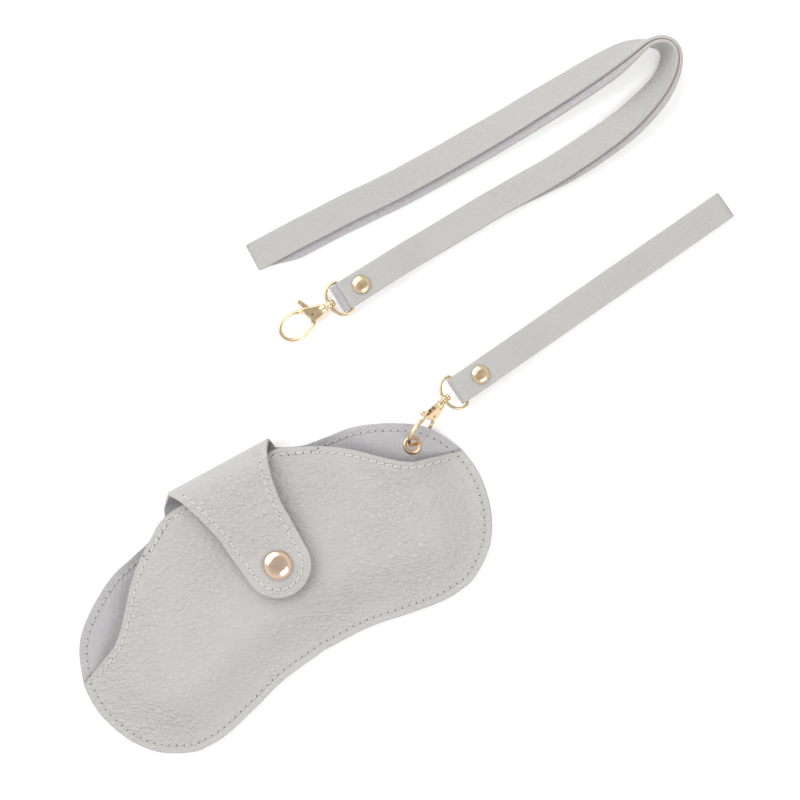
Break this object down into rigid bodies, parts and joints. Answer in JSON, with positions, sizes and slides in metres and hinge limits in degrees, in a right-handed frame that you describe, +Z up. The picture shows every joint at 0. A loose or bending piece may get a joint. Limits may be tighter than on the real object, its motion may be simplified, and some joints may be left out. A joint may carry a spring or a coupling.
{
  "type": "soft pouch glasses case",
  "caption": "Soft leather slip-in pouch for folded glasses with a snap flap, an eyelet, a wrist strap on a swivel clasp and a detachable neck strap.",
  "frame": {"origin": "on the underside of the back panel, on the pouch line of symmetry, where it rests on the table", "axes": "+X along the pouch towards the eyelet, +Y towards the mouth and the fold of the flap, +Z up off the table"},
  "size_m": [0.337, 0.1633, 0.0176],
  "materials": {
    "leather": "pebbled grain, matt satin, suede on the inner face",
    "thread": "twisted sewing thread",
    "pale_gold": "polished pale gold plating",
    "rose_gold": "polished rose gold plating",
    "steel": "nickel plated"
  },
  "bodies": {
    "pouch": {"back_panel": "leather", "front_panel": "leather", "flap_fold": "leather", "perimeter_stitching": "thread", "mouth_stitching": "thread", "snap_stud": "steel", "snap_stud_post": "steel", "eyelet": "pale_gold", "eyelet_washer": "pale_gold"},
    "flap": {"closure_flap": "leather", "flap_stitching": "thread", "snap_cap": "rose_gold", "snap_socket": "steel"},
    "wrist_clasp": {"wrist_clasp_hook": "pale_gold", "wrist_gate_pin": "pale_gold", "wrist_gate_spring": "steel", "wrist_swivel_post": "pale_gold"},
    "wrist_gate": {"wrist_clasp_gate": "pale_gold"},
    "wrist_ring": {"wrist_dring": "pale_gold"},
    "wrist_strap": {"wrist_strap_band": "leather", "wrist_strap_rivet_cap": "pale_gold", "wrist_strap_rivet_post": "pale_gold"},
    "neck_strap": {"neck_strap_band": "leather", "neck_strap_rivet_cap": "pale_gold", "neck_strap_rivet_post": "pale_gold"},
    "neck_ring": {"neck_dring": "pale_gold"},
    "neck_clasp": {"neck_clasp_hook": "pale_gold", "neck_gate_pin": "pale_gold", "neck_gate_spring": "steel", "neck_swivel_post": "pale_gold"},
    "neck_gate": {"neck_clasp_gate": "pale_gold"}
  },
  "joints": [
    {"name": "flap_open", "type": "hinge", "parent": "pouch", "child": "flap", "pos_m": [0.003, 0.0548, 0.00725], "axis": [-0.9984, 0.0569, 0], "range_deg": [0, 150]},
    {"name": "wrist_clasp_turn", "type": "hinge", "parent": "pouch", "child": "wrist_clasp", "pos_m": [0.0733, 0.0207, 0.004], "axis": [0, 0, 1], "range_deg": [-10, 10]},
    {"name": "wrist_gate_press", "type": "hinge", "parent": "wrist_clasp", "child": "wrist_gate", "pos_m": [0.08641, 0.02675, 0.00565], "axis": [-0.3104, 0.8085, -0.5], "range_deg": [0, 10], "stiffness_Nm_per_rad": 0.002, "springref_deg": -17.19},
    {"name": "wrist_swivel", "type": "hinge", "parent": "wrist_clasp", "child": "wrist_ring", "pos_m": [0.09376, 0.02936, 0.0053], "axis": [0.9803, 0.0514, -0.1908], "continuous": true},
    {"name": "wrist_strap_lift", "type": "hinge", "parent": "wrist_ring", "child": "wrist_strap", "pos_m": [0.10101, 0.02974, 0.00389], "axis": [0.0523, -0.9986, 0], "range_deg": [0, 100]},
    {"name": "neck_strap_lift", "type": "slide", "parent": "pouch", "child": "neck_strap", "axis": [0, 0, 1], "range_m": [0, 0.08]},
    {"name": "neck_ring_lift", "type": "hinge", "parent": "neck_strap", "child": "neck_ring", "pos_m": [0.08187, 0.0859, 0.00254], "axis": [0, 1, 0], "range_deg": [0, 100]},
    {"name": "neck_swivel", "type": "hinge", "parent": "neck_ring", "child": "neck_clasp", "pos_m": [0.0745, 0.0859, 0.0019], "axis": [-0.9962, 0, -0.0872], "continuous": true},
    {"name": "neck_gate_press", "type": "hinge", "parent": "neck_clasp", "child": "neck_gate", "pos_m": [0.0667, 0.0863, 0.0019], "axis": [0, 0, -1], "range_deg": [0, 25], "stiffness_Nm_per_rad": 0.002, "springref_deg": -17.19}
  ]
}
